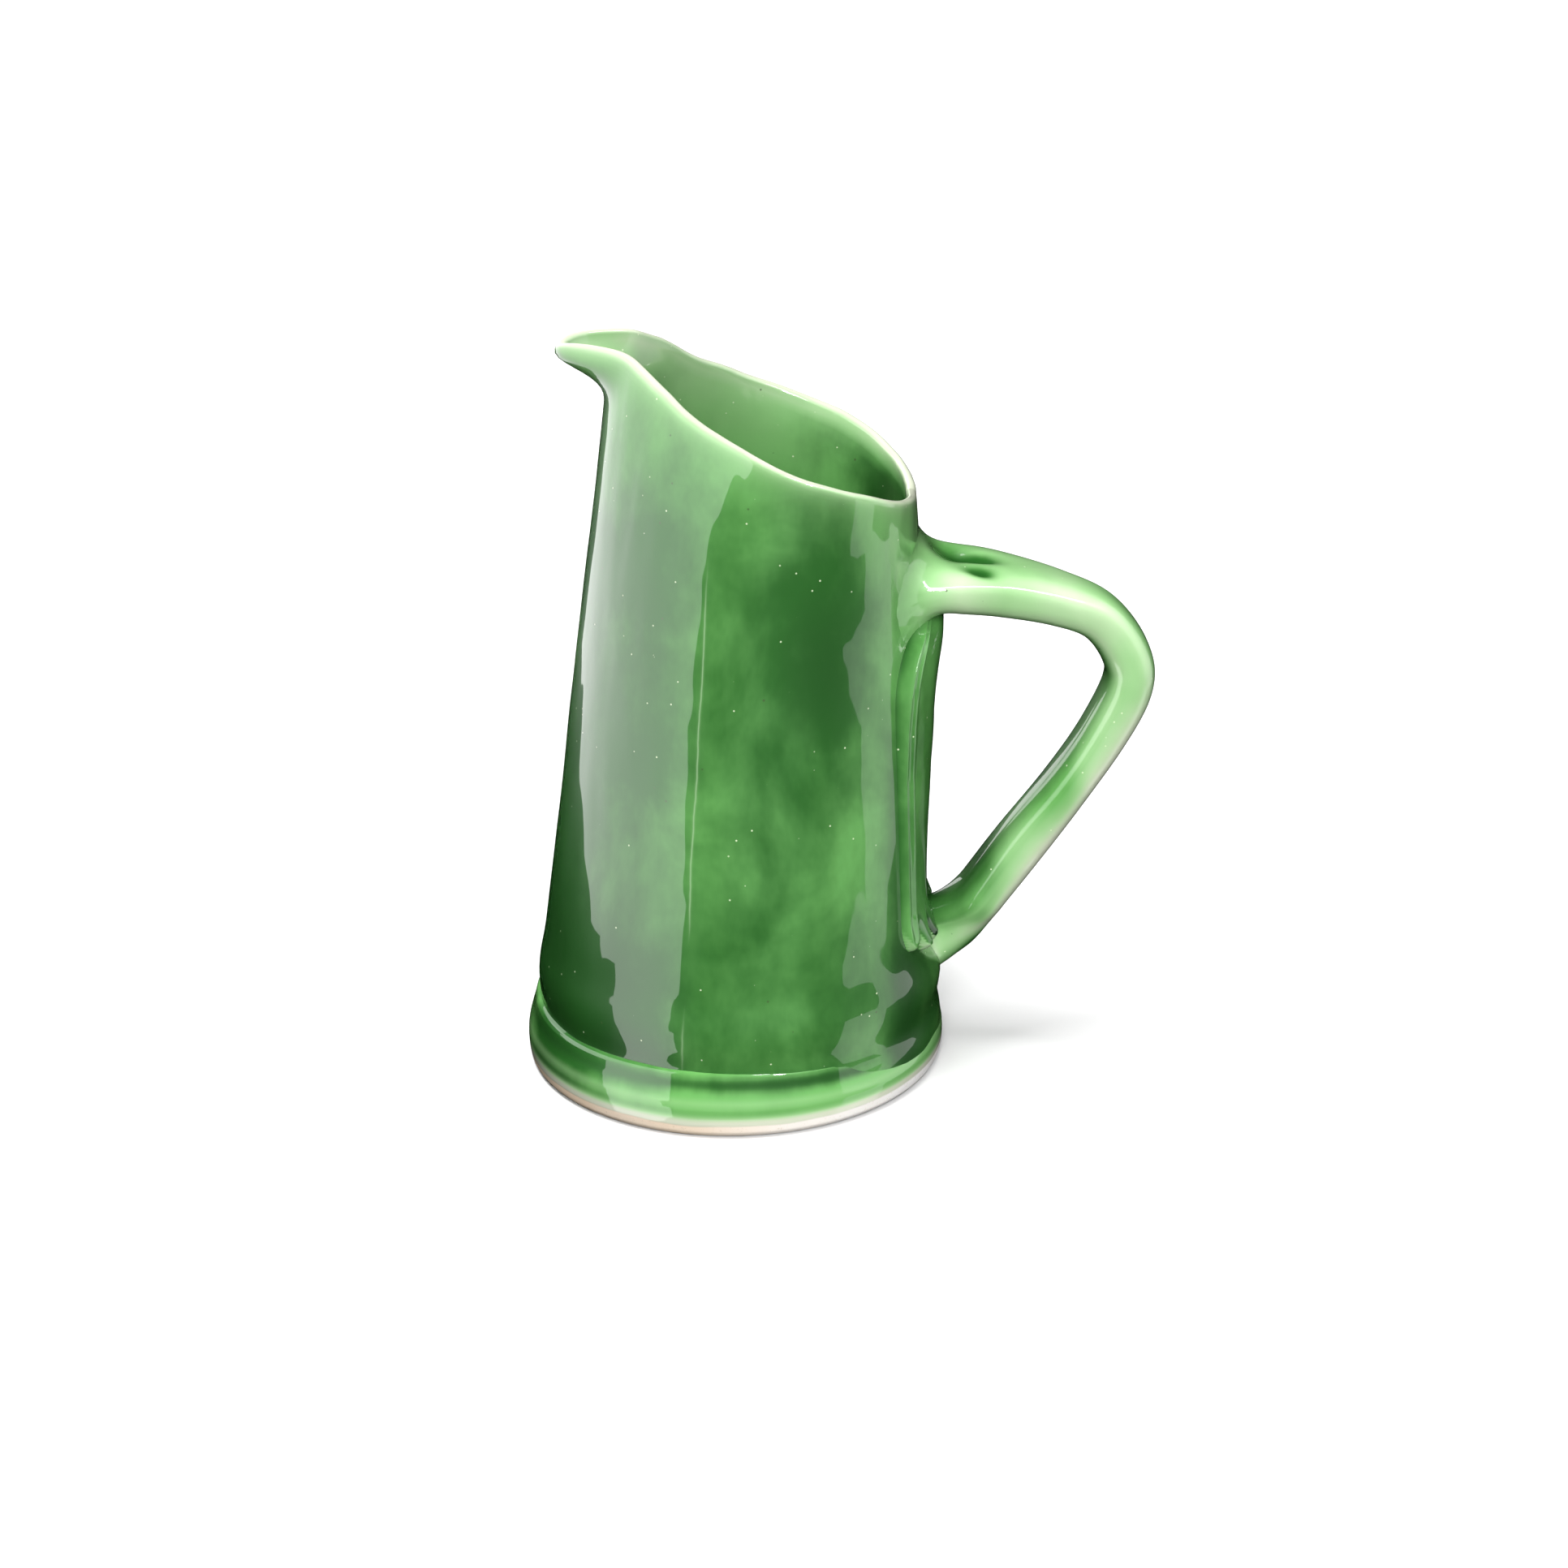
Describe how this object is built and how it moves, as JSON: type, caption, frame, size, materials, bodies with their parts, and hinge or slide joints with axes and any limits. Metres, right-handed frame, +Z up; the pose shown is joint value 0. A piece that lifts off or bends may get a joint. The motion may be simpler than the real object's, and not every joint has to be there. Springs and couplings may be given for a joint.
{
  "type": "ceramic pitcher",
  "caption": "Leaning slab-built ceramic pitcher with a sloping rim, a pulled beak spout, a collared foot and a three-cornered strap handle.",
  "frame": {"origin": "centre of the foot, on the surface that the pitcher stands on", "axes": "+Z up, +X toward the handle, so -X is toward the spout"},
  "size_m": [0.1647, 0.112, 0.192],
  "materials": {
    "fired_clay": "matte",
    "green_glaze": "gloss"
  },
  "bodies": {
    "root": {"wall_slab": "fired_clay", "base_slab": "fired_clay", "floor_seam_coil": "fired_clay", "handle_strap": "fired_clay", "handle_leg": "green_glaze", "upper_root_clay": "green_glaze", "lower_root_clay": "green_glaze", "outer_glaze": "green_glaze", "inner_glaze": "green_glaze", "handle_glaze": "green_glaze"}
  },
  "joints": []
}
